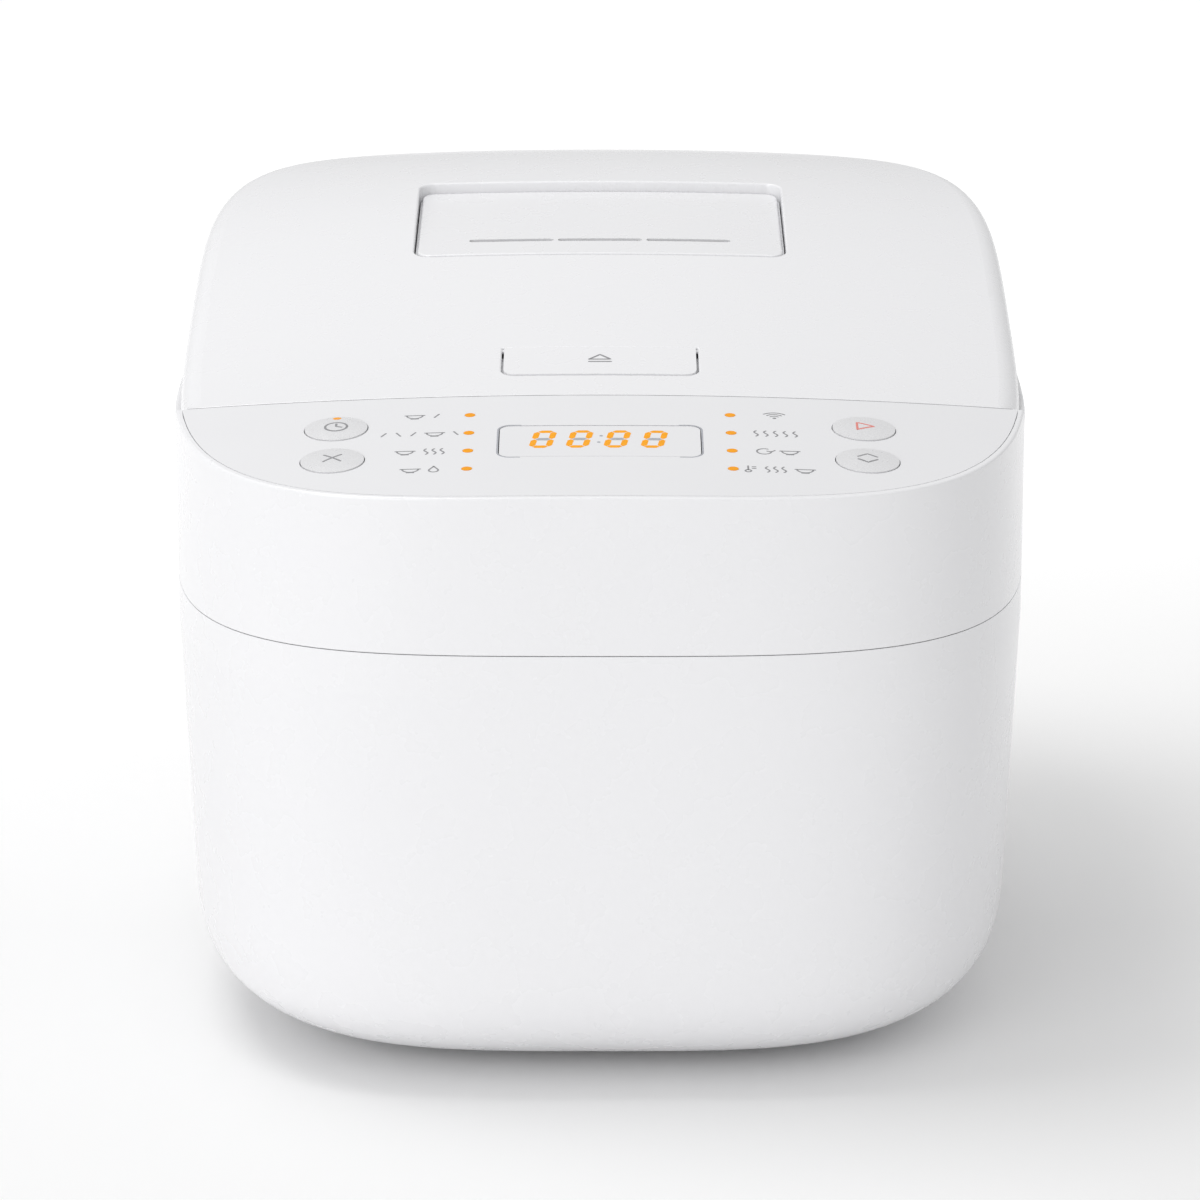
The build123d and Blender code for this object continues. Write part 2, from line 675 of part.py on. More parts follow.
def latch_pin():
    return bar(-14.8, 14.8, LATCH_Y, LATCH_Z, LATCH_PIN_R)


def button_springs():
    """Two coils between the liner and the open button."""
    y = -62.0
    height = lid_z(y) - OPEN_THICK - LINER_TOP - 0.4
    return [Pos(x, y, LINER_TOP) * coil(2.2, 0.35, height, 5) for x in (-22, 22)]


# ---- lid ----------------------------------------------------------------------------
def lid_solid(deeper=0.0):
    """The lid's outer form with its rounded upper edge, or the same taken in by deeper."""
    form = prism(LID_INSET + deeper, 170, 260) & under_lid(-deeper)
    edge = LID_EDGE - deeper
    skin = form.faces().sort_by(Axis.Z)[-1]
    form = fillet(skin.edges(), edge)
    front = SEAM_Y + SEAM_GAP / 2 + deeper
    return form & box(-150, 150, front, 180, LID_FLOOR, 260)


def largest_top(shape):
    """The largest of a shape's upward faces."""
    return max([face for face in shape.faces() if face.normal_at().Z > 0.8], key=lambda face: face.area)


def lid_posts():
    return [(side * x, y) for side in (-1, 1) for x, y in ((104, -38), (117, 37), (90, 138))]


def lid_cover():
    """Outer shell of the lid, with the vent's recess, screw posts and hinge knuckles."""
    skin = lid_solid(1.0)
    form = lid_solid()
    form = fillet(largest_top(form).edges().sort_by(Axis.Y)[0], LID_ROUND)
    form -= vent_prism(0, VENT_FLOOR) + open_prism(0)
    rims = [edge for wire in largest_top(form).inner_wires() for edge in wire.edges()]
    cover = fillet(rims, LID_ROUND) - lid_solid(LID_WALL)
    cover += (vent_prism(-VENT_LINING, VENT_FLOOR - 2) & skin) - vent_prism(0, VENT_FLOOR)
    cover -= post(0, DUCT_Y, 190, 230, DUCT_BORE + 0.3)
    for x, y in lid_posts():
        cover += post(x, y, LINER_TOP, 240, 4) & skin
        cover -= post(x, y, 190, LINER_TOP + 6, SCREW_R)
    cover -= open_prism(0)
    cover -= open_pivots(RUNNING)
    for side in (-1, 1):
        x0, x1 = side * KNUCKLE_X - KNUCKLE_HALF, side * KNUCKLE_X + KNUCKLE_HALF
        cover += box(x0, x1, HINGE_Y - KNUCKLE_R, HINGE_Y + 4.6, HINGE_Z, 250) & skin
        cover += bar(x0, x1, HINGE_Y, HINGE_Z, KNUCKLE_R)
        cover -= box(side * EAR_X - 4, side * EAR_X + 4, HINGE_Y - 8, 172, LID_FLOOR - 1, HINGE_Z + 5)
    cover -= bar(-58, 58, HINGE_Y, HINGE_Z, HINGE_PIN_R)
    return cover


def vent_prism(gap, low):
    """Outline of the vent's recess from low upwards, taken in by gap."""
    half = VENT_HALF - gap
    return slab(-half, half, VENT_FRONT + gap, VENT_BACK - gap, low, 260, VENT_CORNER - gap)


def open_prism(gap):
    """Opening for the open button, or the button's outline when taken in by gap."""
    corner = OPEN_CORNER - gap
    outline = slab(-OPEN_HALF + gap, OPEN_HALF - gap, OPEN_FRONT + gap, OPEN_BACK + 12, 190, 240, corner)
    back = OPEN_BACK - (OPEN_REAR_GAP if gap else 0)
    return outline & box(-80, 80, -90, back, 190, 240)


def open_pivots(clearance):
    """Bar on the open button's axis that reaches into the lid on both sides."""
    reach = OPEN_HALF + 1.6 + clearance
    return bar(-reach, reach, OPEN_AXIS_Y, lid_z(OPEN_AXIS_Y) - OPEN_AXIS_DROP, PIVOT_R + clearance)


def open_button():
    """Plate flush with the lid, with pivots at its rear edge and tabs under its other edges."""
    plate = open_prism(OPEN_GAP) & (under_lid(0) - under_lid(-OPEN_THICK))
    tab_top = -OPEN_THICK - TAB_DROP
    tabs = under_lid(tab_top) - under_lid(tab_top - TAB_THICK)
    webs = under_lid(0.2 - OPEN_THICK) - under_lid(tab_top - TAB_THICK)
    for side in (-1, 1):
        across = sorted((side * (OPEN_HALF - TAB_INSIDE), side * (OPEN_HALF + TAB_REACH)))
        along = sorted((side * 8.5, side * (OPEN_HALF - TAB_INSIDE)))
        reach = box(*across, OPEN_FRONT + 3, OPEN_AXIS_Y - 1.5, 190, 240)
        reach += box(*along, OPEN_FRONT - TAB_REACH, OPEN_FRONT + TAB_INSIDE, 190, 240)
        plate += reach & tabs
        plate += reach & webs & open_prism(OPEN_GAP)
    return plate + open_pivots(0)


def lid_liner():
    """Plate that closes the lid from below, with its steam duct and the latch's ears."""
    plate = prism(LID_INSET + LID_WALL, LID_FLOOR + 0.1, LINER_TOP)
    plate &= box(-150, 150, -150, LINER_BACK, 190, 210)
    plate &= lid_solid(LID_WALL + 0.3)
    plate += post(0, DUCT_Y, LID_FLOOR + 0.1, VENT_FLOOR - 2.2, DUCT_R)
    for k in range(3):
        a = math.radians(30 + 120 * k)
        plate += post(78 * math.cos(a), POT_Y + 78 * math.sin(a), 195.4, LID_FLOOR + 1, 4)
    plate -= post(0, DUCT_Y, 190, 230, DUCT_BORE)
    plate -= box(-7.6, 7.6, -82, -64, 190, 210)
    for side in (-1, 1):
        ear = box(side * 13.2 - 1.5, side * 13.2 + 1.5, LATCH_Y - 3, LATCH_Y + 3, LINER_TOP - 1, LATCH_Z)
        plate += ear + bar(side * 13.2 - 1.5, side * 13.2 + 1.5, LATCH_Y, LATCH_Z, 2.6)
    plate -= bar(-14.8, 14.8, LATCH_Y, LATCH_Z, LATCH_PIN_R)
    for x, y in lid_posts():
        plate -= post(x, y, 190, 210, SCREW_R)
    plate -= post(-40, POT_Y, 190, 210, 5)
    return plate


def lid_screws():
    screws = []
    for x, y in lid_posts():
        head = post(x, y, LID_FLOOR - 1.3, LID_FLOOR + 0.1, SCREW_HEAD)
        screws.append(head + post(x, y, LID_FLOOR, LINER_TOP + 5.5, SCREW_R))
    return screws


def lid_heater():
    return ring(0, POT_Y, LINER_TOP, LINER_TOP + 0.8, 84, 50)


def inner_lid():
    """Pressed plate over the pot, dished, with the hole for the steam valve."""
    plate = post(0, POT_Y, 194.2, 195.4, 95)
    plate -= post(0, DUCT_Y, 190, 200, DUCT_R)
    plate -= post(-40, POT_Y, 190, 200, 5)
    for k in range(12):
        a = math.radians(30 * k + 15)
        plate -= post(86 * math.cos(a), POT_Y + 86 * math.sin(a), 190, 200, 2)
    return plate


def lid_gasket():
    seal = ring(0, POT_Y, 193.1, LID_FLOOR + 0.1, 99.4, 95)
    return seal - ring(0, POT_Y, 193.0, 194.0, 97.6, 96.4)


def steam_valve():
    body = post(0, DUCT_Y, 189, LID_FLOOR + 0.1, DUCT_R)
    body -= post(0, DUCT_Y, 190.5, 200, 5.6)
    body -= post(0, DUCT_Y, 180, 200, 2.4)
    return body


def valve_float():
    return Pos(0, DUCT_Y, 193.2) * Sphere(3.5)


def lid_sensor():
    return post(-40, POT_Y, 191, LINER_TOP + 3, 5)


def vent_top(lift=0.0):
    """Everything under the vent cover's top, which lies under the skin towards its back."""
    front, back = VENT_FRONT - 5, VENT_BACK + 5
    slope = (lid_z(VENT_BACK) - VENT_SINK - lid_z(VENT_FRONT)) / (VENT_BACK - VENT_FRONT)

    def level(y):
        return lid_z(VENT_FRONT) + (y - VENT_FRONT) * slope + lift

    return Solid.make_loft([crowned_section(y, level(y), 150.0) for y in (front, back)], ruled=True)


def vent_cover():
    """Lift-out cap with three slits, hollow inside, with the spigot that plugs into the duct."""
    cap = vent_prism(VENT_GAP, VENT_FLOOR + 0.4) & vent_top()
    cap = fillet(largest_top(cap).outer_wire().edges(), COVER_ROUND)
    cap += vent_prism(FLANGE_GAP, VENT_FLOOR + 0.4) & vent_top(-VENT_STEP)
    cap -= vent_prism(VENT_GAP + 2, VENT_FLOOR + 2.4) & vent_top(-2)
    for x in (-29.4, 0, 29.4):
        cap -= slab(x - 14, x + 14, SLIT_Y - SLIT_WIDE / 2, SLIT_Y + SLIT_WIDE / 2, VENT_FLOOR + 4, 260, SLIT_WIDE * 0.45)
    cap += post(0, DUCT_Y, VENT_FLOOR - 3, VENT_FLOOR + 6, DUCT_BORE - 1.2)
    cap -= post(0, DUCT_Y, 200, VENT_FLOOR + 8, DUCT_BORE - 2.6)
    return cap


def vent_seal():
    return ring(0, DUCT_Y, VENT_FLOOR - 2, VENT_FLOOR, DUCT_BORE - 0.1, DUCT_BORE - 1.2)


# ---- write every sub-part -----------------------------------------------------------
SUB_PARTS = {
    "base_housing": base_housing, "upper_housing": upper_housing, "top_deck": top_deck,
    "bottom_cover": bottom_cover, "cover_screws": cover_screws, "rubber_feet": feet, "heat_shield": heat_shield,
    "chamber_collar": chamber_collar, "inner_pot": inner_pot, "heating_plate": heating_plate,
    "heating_element": heating_element, "plate_screws": plate_screws, "thermal_fuse": thermal_fuse,
    "sensor_housing": sensor_housing, "sensor_cap": sensor_cap, "sensor_spring": sensor_spring,
    "power_board": power_board, "transformer": transformer, "power_relay": relay, "capacitors": capacitors,
    "wire_harness": wire_harness, "power_inlet": power_inlet, "inlet_pins": inlet_pins,
    "control_panel": control_panel, "display_window": display_window, "display_module": display_module,
    "indicator_lamps": indicator_lamps, "control_board": control_board, "board_screws": board_screws,
    "button_switches": button_switches, "buzzer": buzzer, "timer_lamp": timer_lamp,
    "hinge_bracket": hinge_bracket, "bracket_screws": bracket_screws, "hinge_pin": hinge_pin,
    "lid_spring": lid_spring, "latch_catch": latch_catch, "latch_hook": latch_hook, "latch_pin": latch_pin,
    "lid_cover": lid_cover, "open_button": open_button, "lid_liner": lid_liner, "lid_screws": lid_screws,
    "button_springs": button_springs, "lid_heater": lid_heater, "inner_lid": inner_lid, "lid_gasket": lid_gasket,
    "steam_valve": steam_valve, "valve_float": valve_float, "lid_sensor": lid_sensor, "vent_cover": vent_cover,
    "vent_seal": vent_seal,
}


def main():
    os.makedirs("parts", exist_ok=True)
    for name, make in SUB_PARTS.items():
        save(name, make())
    for name in BUTTON_NAMES:
        save(f"{name}_button", panel_button(name))


main()
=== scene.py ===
import math

import bmesh
import bpy
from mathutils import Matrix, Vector


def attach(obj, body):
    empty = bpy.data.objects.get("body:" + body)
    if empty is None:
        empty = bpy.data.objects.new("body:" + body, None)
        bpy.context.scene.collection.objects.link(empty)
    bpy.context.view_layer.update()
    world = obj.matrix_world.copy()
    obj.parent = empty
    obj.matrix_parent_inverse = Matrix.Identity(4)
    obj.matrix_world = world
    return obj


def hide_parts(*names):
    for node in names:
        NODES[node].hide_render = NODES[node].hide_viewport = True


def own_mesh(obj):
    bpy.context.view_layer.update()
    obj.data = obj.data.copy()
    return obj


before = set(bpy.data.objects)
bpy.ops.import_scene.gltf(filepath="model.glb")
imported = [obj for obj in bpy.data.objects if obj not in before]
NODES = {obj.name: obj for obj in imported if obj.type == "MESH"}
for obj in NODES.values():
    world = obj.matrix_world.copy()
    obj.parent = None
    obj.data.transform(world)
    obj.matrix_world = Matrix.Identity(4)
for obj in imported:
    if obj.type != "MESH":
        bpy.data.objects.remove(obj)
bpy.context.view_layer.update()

MM = 0.001

# ---- the object's driving sizes, in millimetres ---------------------------------------
SEAM_Y = -85.5              # seam between the control panel and the lid
SEAM_Z = 204.8              # height of the skin at the seam, on the centre line
PANEL_SLOPE = math.tan(math.radians(7.16))
CROWN = 2.75e-4             # panel and lid fall by this times x * x to either side
LID_SLOPE, LID_LIFT, LID_FALL = 0.1544, 8.077e-4, 3.896e-6      # cubic behind the seam
POT_CENTRE = (0.0, 37.0)
POT_INSIDE_R = 92.0


def panel_height(x, y):
    """Height of the control panel's surface."""
    return SEAM_Z + (y - SEAM_Y) * PANEL_SLOPE - CROWN * x * x


def lid_height(x, y):
    """Height of the lid's outer surface."""
    run = y - SEAM_Y
    return SEAM_Z + LID_SLOPE * run + LID_LIFT * run**2 - LID_FALL * run**3 - CROWN * x * x


# ---- camera, floor and lights ---------------------------------------------------------
# Places and sizes are in metres here, and angles in degrees unless converted.
VIEW_PITCH = math.radians(15.99)
VIEW_DISTANCE = 1.773
VIEW_TARGET_Z = 0.1139
VIEW_LENS = 160.6
SENSOR_WIDTH = 36.0
FLOOR_HALF = 6.0
FLOOR_GLOW = 0.36
GLOW_START, GLOW_END = 0.0, 0.7     # the glow grows over this stretch of the floor's Y
WORLD_STRENGTH = 0.65
LIGHT_TARGET = Vector((0, 0, 0.12))


def make_camera():
    data = bpy.data.cameras.new("camera")
    data.lens = VIEW_LENS
    data.sensor_width = SENSOR_WIDTH
    data.clip_start, data.clip_end = 0.05, 50.0
    camera = bpy.data.objects.new("camera", data)
    camera.location = (0, -VIEW_DISTANCE * math.cos(VIEW_PITCH),
                       VIEW_TARGET_Z + VIEW_DISTANCE * math.sin(VIEW_PITCH))
    camera.rotation_euler = (math.pi / 2 - VIEW_PITCH, 0, 0)
    bpy.context.scene.collection.objects.link(camera)
    bpy.context.scene.camera = camera


def area_light(name, azimuth, elevation, distance, size, power):
    """Square soft box; azimuth 0 is in front of the object, at -Y, and 90 is at +X."""
    a, e = math.radians(azimuth), math.radians(elevation)
    data = bpy.data.lights.new(name, "AREA")
    data.size = size
    data.energy = power
    light = bpy.data.objects.new(name, data)
    across = distance * math.cos(e)
    light.location = (across * math.sin(a), -across * math.cos(a),
                      LIGHT_TARGET.z + distance * math.sin(e))
    light.rotation_euler = (LIGHT_TARGET - light.location).to_track_quat("-Z", "Y").to_euler()
    bpy.context.scene.collection.objects.link(light)


def set_range(node, from_min, from_max, to_min, to_max):
    """Sets the four limits of a Map Range node."""
    limits = {"From Min": from_min, "From Max": from_max, "To Min": to_min, "To Max": to_max}
    for key, value in limits.items():
        node.inputs[key].default_value = value


def brighten_far_floor(mat, shader):
    """Lets the floor behind the object glow, so that it fades to white without a lamp."""
    tree = mat.node_tree
    coords = tree.nodes.new("ShaderNodeTexCoord")
    axes = tree.nodes.new("ShaderNodeSeparateXYZ")
    glow = tree.nodes.new("ShaderNodeMapRange")
    set_range(glow, GLOW_START, GLOW_END, 0.0, FLOOR_GLOW)
    tree.links.new(coords.outputs["Object"], axes.inputs[0])
    tree.links.new(axes.outputs["Y"], glow.inputs["Value"])
    tree.links.new(glow.outputs["Result"], shader.inputs["Emission Strength"])
    shader.inputs["Emission Color"].default_value = (1, 1, 1, 1)


def make_floor():
    mesh = bpy.data.meshes.new("floor")
    corners = [(x * FLOOR_HALF, y * FLOOR_HALF, 0) for x, y in ((-1, -1), (1, -1), (1, 1), (-1, 1))]
    mesh.from_pydata(corners, [], [(0, 1, 2, 3)])
    floor = bpy.data.objects.new("floor", mesh)
    bpy.context.scene.collection.objects.link(floor)
    mat = bpy.data.materials.new("floor")
    mat.use_nodes = True
    shader = mat.node_tree.nodes["Principled BSDF"]
    shader.inputs["Base Color"].default_value = (0.95, 0.95, 0.95, 1)
    shader.inputs["Roughness"].default_value = 0.9
    shader.inputs["Specular IOR Level"].default_value = 0.1
    brighten_far_floor(mat, shader)
    mesh.materials.append(mat)


def make_stage():
    scene = bpy.context.scene
    scene.view_settings.view_transform = "Standard"
    make_floor()
    world = bpy.data.worlds.new("studio")
    world.use_nodes = True
    background = world.node_tree.nodes["Background"]
    background.inputs["Color"].default_value = (1, 1, 1, 1)
    background.inputs["Strength"].default_value = WORLD_STRENGTH
    scene.world = world
    area_light("key", azimuth=-30, elevation=12, distance=1.9, size=1.1, power=9.2)
    area_light("top_left", azimuth=-80, elevation=70, distance=1.2, size=0.6, power=4.6)


# ---- materials ------------------------------------------------------------------------
# Noise scales are per metre, and bump distances are in metres.
NOISE_LOW, NOISE_HIGH = 0.3, 0.7    # the part of a pattern's output that a material uses
RING_SCALE = 264.5502645            # wave texture scale: rings about 1.2 mm apart
BRUSH_FINE, BRUSH_LONG = 900, 12    # noise scales across and along brushed metal


class Surface:
    """A Principled material under construction, with its object-space coordinates."""

    def __init__(self, name, colour, roughness, metallic=0.0):
        self.mat = bpy.data.materials.new(name)
        self.mat.use_nodes = True
        self.tree = self.mat.node_tree
        self.shader = self.tree.nodes["Principled BSDF"]
        self.colour = colour
        self.shader.inputs["Base Color"].default_value = (*colour, 1)
        self.shader.inputs["Roughness"].default_value = roughness
        self.shader.inputs["Metallic"].default_value = metallic
        self.coords = self.tree.nodes.new("ShaderNodeTexCoord").outputs["Object"]

    def node(self, kind, **inputs):
        made = self.tree.nodes.new(kind)
        for key, value in inputs.items():
            made.inputs[key.replace("_", " ")].default_value = value
        return made

    def link(self, a, b):
        self.tree.links.new(a, b)

    def mapped(self, scale):
        mapping = self.node("ShaderNodeMapping", Scale=scale)
        self.link(self.coords, mapping.inputs["Vector"])
        return mapping.outputs["Vector"]

    def noise(self, scale, detail, stretch=(1, 1, 1)):
        made = self.node("ShaderNodeTexNoise", Scale=scale, Detail=detail)
        self.link(self.mapped(stretch), made.inputs["Vector"])
        return made.outputs["Fac"]

    def ramp(self, fac, low, high):
        """Numbers from low to high as fac goes from NOISE_LOW to NOISE_HIGH."""
        made = self.node("ShaderNodeMapRange")
        set_range(made, NOISE_LOW, NOISE_HIGH, low, high)
        self.link(fac, made.inputs["Value"])
        return made.outputs["Result"]

    def mix(self, share, other):
        """Base colour that goes from the material's own to other as share goes from 0 to 1."""
        made = self.tree.nodes.new("ShaderNodeMix")
        made.data_type = "RGBA"
        made.inputs["A"].default_value = (*self.colour, 1)
        made.inputs["B"].default_value = (*other, 1)
        self.link(share, made.inputs["Factor"])
        self.link(made.outputs["Result"], self.shader.inputs["Base Color"])

    def tint(self, fac, other):
        """Base colour that wanders between the material's colour and other."""
        self.mix(self.ramp(fac, 0, 1), other)

    def rough(self, fac, low, high):
        self.link(self.ramp(fac, low, high), self.shader.inputs["Roughness"])

    def bump(self, fac, distance):
        made = self.node("ShaderNodeBump", Distance=distance, Strength=1.0)
        self.link(fac, made.inputs["Height"])
        self.link(made.outputs["Normal"], self.shader.inputs["Normal"])


def moulded(name, colour, other, roughness, grain, grain_depth):
    """Injection-moulded plastic: faint flow mottling, fine grain, uneven polish."""
    s = Surface(name, colour, sum(roughness) / 2)
    s.tint(s.noise(9, 2), other)
    s.rough(s.noise(60, 4), *roughness)
    s.bump(s.noise(grain, 2), grain_depth)
    return s.mat


def white_gloss():
    """The casing's white plastic, under a thin clear coat."""
    mat = moulded("white_gloss", (0.86, 0.86, 0.875), (0.853, 0.853, 0.869), (0.26, 0.29), 2600, 2e-7)
    shader = mat.node_tree.nodes["Principled BSDF"]
    shader.inputs["Coat Weight"].default_value = 0.25
    shader.inputs["Coat Roughness"].default_value = 0.12
    return mat


def pearl():
    """Button caps: silvery pearl plastic with a metallic fleck."""
    s = Surface("pearl", (0.74, 0.74, 0.755), 0.32, 0.2)
    fleck = s.node("ShaderNodeTexVoronoi", Scale=2400)
    s.link(s.coords, fleck.inputs["Vector"])
    s.tint(fleck.outputs["Distance"], (0.82, 0.82, 0.83))
    s.rough(s.noise(300, 3), 0.26, 0.38)
    s.bump(s.noise(2000, 2), 8e-6)
    return s.mat


def brushed(name, colour, along):
    """Metal brushed along one axis: 0, 1 or 2 for X, Y or Z."""
    stretch = [BRUSH_FINE] * 3
    stretch[along] = BRUSH_LONG
    s = Surface(name, colour, 0.3, 1.0)
    lines = s.noise(1.0, 4, stretch)
    s.tint(lines, tuple(c * 0.86 for c in colour))
    s.rough(lines, 0.24, 0.40)
    s.bump(lines, 1e-5)
    return s.mat


def turned(name, colour, centre):
    """Metal turned on a lathe: fine rings round the upright axis through centre."""
    s = Surface(name, colour, 0.3, 1.0)
    shift = s.node("ShaderNodeMapping", Location=(-centre[0] * MM, -centre[1] * MM, 0))
    s.link(s.coords, shift.inputs["Vector"])
    rings = s.node("ShaderNodeTexWave", Scale=RING_SCALE, Distortion=1.2, Detail=3.0)
    rings.wave_type = "RINGS"
    rings.rings_direction = "Z"
    s.link(shift.outputs["Vector"], rings.inputs["Vector"])
    s.tint(s.noise(30, 4), tuple(c * 0.9 for c in colour))
    s.rough(rings.outputs["Fac"], 0.22, 0.38)
    s.bump(rings.outputs["Fac"], 4e-6)
    return s.mat


def coating():
    """Non-stick coating: near-black with pale, warm speckles."""
    s = Surface("pot_coating", (0.035, 0.035, 0.038), 0.36)
    cells = s.node("ShaderNodeTexVoronoi", Scale=620)
    s.link(s.coords, cells.inputs["Vector"])
    speckles = s.node("ShaderNodeMapRange")
    set_range(speckles, 0.10, 0.24, 1.0, 0.0)
    s.link(cells.outputs["Distance"], speckles.inputs["Value"])
    s.mix(speckles.outputs["Result"], (0.30, 0.28, 0.25))
    s.rough(s.noise(240, 4), 0.28, 0.46)
    s.bump(s.noise(900, 3), 3e-5)
    return s.mat


def rubber(name, colour, other):
    s = Surface(name, colour, 0.7)
    s.tint(s.noise(120, 4), other)
    s.rough(s.noise(400, 3), 0.6, 0.85)
    s.bump(s.noise(1500, 3), 3e-5)
    return s.mat


def circuit_board():
    s = Surface("circuit_board", (0.02, 0.13, 0.05), 0.4)
    tracks = s.node("ShaderNodeTexBrick", Scale=160.0)
    tracks.inputs["Mortar Size"].default_value = 0.03
    s.link(s.coords, tracks.inputs["Vector"])
    s.tint(tracks.outputs["Fac"], (0.05, 0.26, 0.10))
    s.bump(tracks.outputs["Fac"], 3e-5)
    s.rough(s.noise(200, 3), 0.3, 0.5)
    return s.mat


def lamp_glow(name, colour, strength):
    """Lit diffuser with a faint mottle."""
    s = Surface(name, colour, 0.35)
    s.tint(s.noise(500, 2), tuple(min(c * 1.12, 1) for c in colour))
    s.bump(s.noise(900, 2), 1e-5)
    s.shader.inputs["Specular IOR Level"].default_value = 0.1
    s.shader.inputs["Emission Color"].default_value = (*colour, 1)
    s.shader.inputs["Emission Strength"].default_value = strength
    return s.mat


def ink(name, colour):
    """Matt print, slightly uneven."""
    s = Surface(name, colour, 0.5)
    s.tint(s.noise(1400, 3), tuple(min(c * 1.25 + 0.01, 1) for c in colour))
    s.bump(s.noise(2600, 2), 4e-6)
    return s.mat


MATERIALS = {
    "white": white_gloss(),
    "panel": moulded("panel_film", (0.82, 0.82, 0.835), (0.81, 0.81, 0.825), (0.34, 0.42), 3200, 3e-6),
    "pearl": pearl(),
    "window": moulded("window", (0.83, 0.83, 0.845), (0.81, 0.81, 0.825), (0.16, 0.22), 3400, 3e-6),
    "grey": moulded("grey_plastic", (0.42, 0.43, 0.45), (0.38, 0.39, 0.41), (0.42, 0.55), 1500, 2e-5),
    "dark": moulded("dark_plastic", (0.030, 0.030, 0.033), (0.045, 0.045, 0.048), (0.42, 0.58), 1500, 2e-5),
    "steel": brushed("steel", (0.56, 0.56, 0.57), 0),
    "steel_up": brushed("steel_up", (0.56, 0.56, 0.57), 2),
    "aluminium": turned("aluminium", (0.70, 0.70, 0.71), POT_CENTRE),
    "coating": coating(),
    "rubber": rubber("rubber", (0.025, 0.025, 0.025), (0.04, 0.04, 0.04)),
    "silicone": rubber("silicone", (0.62, 0.62, 0.61), (0.56, 0.56, 0.55)),
    "board": circuit_board(),
    "copper": brushed("copper_winding", (0.62, 0.27, 0.12), 0),
    "brass": brushed("brass", (0.70, 0.54, 0.24), 1),
    "lamp": lamp_glow("lamp", (0.80, 0.31, 0.0), 0.10),
    "digit": lamp_glow("digit", (0.82, 0.33, 0.0), 0.12),
    "ink": ink("grey_ink", (0.24, 0.24, 0.25)),
    "red_ink": ink("red_ink", (0.66, 0.20, 0.17)),
    # painted shade: near-black colour for the strip in the panel-lid seam, standing in for the gap's shadow
    "gap_shade": ink("painted_seam_shade", (0.10, 0.10, 0.11)),
    "level": ink("level_mark", (0.62, 0.62, 0.60)),
    "line": ink("display_line", (0.36, 0.37, 0.40)),
}

FINISH = {
    "white": ("base_housing", "upper_housing", "top_deck", "lid_cover", "open_button", "vent_cover"),
    "panel": ("control_panel",),
    "pearl": ("timer_button", "cancel_button", "start_button", "select_button"),
    "window": ("display_window",),
    "grey": ("lid_liner", "steam_valve", "latch_hook"),
    "dark": ("bottom_cover", "sensor_housing", "power_relay", "capacitors", "power_inlet", "display_module",
             "button_switches", "buzzer"),
    "steel": ("cover_screws", "plate_screws", "thermal_fuse", "sensor_spring", "board_screws",
              "hinge_bracket", "bracket_screws", "hinge_pin", "lid_spring", "latch_catch", "latch_pin",
              "lid_screws", "button_springs", "lid_sensor", "chamber_collar"),
    "steel_up": ("heat_shield",),
    "aluminium": ("heating_plate", "heating_element", "sensor_cap", "lid_heater", "inner_lid"),
    "coating": ("inner_pot",),
    "rubber": ("rubber_feet", "wire_harness"),
    "silicone": ("lid_gasket", "valve_float", "vent_seal"),
    "board": ("power_board", "control_board"),
    "copper": ("transformer",),
    "brass": ("inlet_pins",),
    "lamp": ("indicator_lamps", "timer_lamp"),
}


def dress_nodes():
    for finish, names in FINISH.items():
        for name in names:
            mesh = NODES[name].data
            mesh.materials.clear()
            mesh.materials.append(MATERIALS[finish])


# ---- strokes, and the pieces made from them -------------------------------------------
INK_LIFT = 0.03             # print sinks this far into the surface, and stands as far or further over it
CAP_STEPS = 6               # sides of a stroke's rounded end


def vertex(bm, x, y, z):
    """Adds a vertex at a place in millimetres."""
    return bm.verts.new((x * MM, y * MM, z * MM))


def arc(cx, cy, radius, start, stop, steps=10):
    turns = [math.radians(start + (stop - start) * k / steps) for k in range(steps + 1)]
    return [(cx + radius * math.cos(t), cy + radius * math.sin(t)) for t in turns]


def wave(x, low, high, swing):
    """Upright wavy line, as for rising steam."""
    steps = 10
    shares = [k / steps for k in range(steps + 1)]
    return [(x + swing * math.sin(2 * math.pi * t), low + (high - low) * t) for t in shares]


def outline_stroke(points, width):
    """Left and right edges of a line of points, and the points of its two rounded ends."""
    half = width / 2
    pts = [Vector(p) for p in points]
    left, right = [], []
    for i, p in enumerate(pts):
        before = (p - pts[i - 1]).normalized() if i else (pts[1] - p).normalized()
        after = (pts[i + 1] - p).normalized() if i < len(pts) - 1 else before
        along = (before + after).normalized()
        across = Vector((-along.y, along.x)) * half
        left.append(p + across)
        right.append(p - across)
    start_dir = math.atan2(left[0].y - pts[0].y, left[0].x - pts[0].x)
    end_dir = math.atan2(right[-1].y - pts[-1].y, right[-1].x - pts[-1].x)
    caps = []
    for centre, first in ((pts[0], start_dir), (pts[-1], end_dir)):
        turns = [first + math.pi * k / CAP_STEPS for k in range(1, CAP_STEPS)]
        caps.append([centre + half * Vector((math.cos(turn), math.sin(turn))) for turn in turns])
    return left, right, caps


def densify(points, step=0.8):
    """The same line with points added, so that its ribbon can follow a curved surface."""
    line = [points[0]]
    for (ax, ay), (bx, by) in zip(points, points[1:]):
        count = max(1, math.ceil(math.hypot(bx - ax, by - ay) / step))
        line += [(ax + (bx - ax) * k / count, ay + (by - ay) * k / count) for k in range(1, count + 1)]
    return line


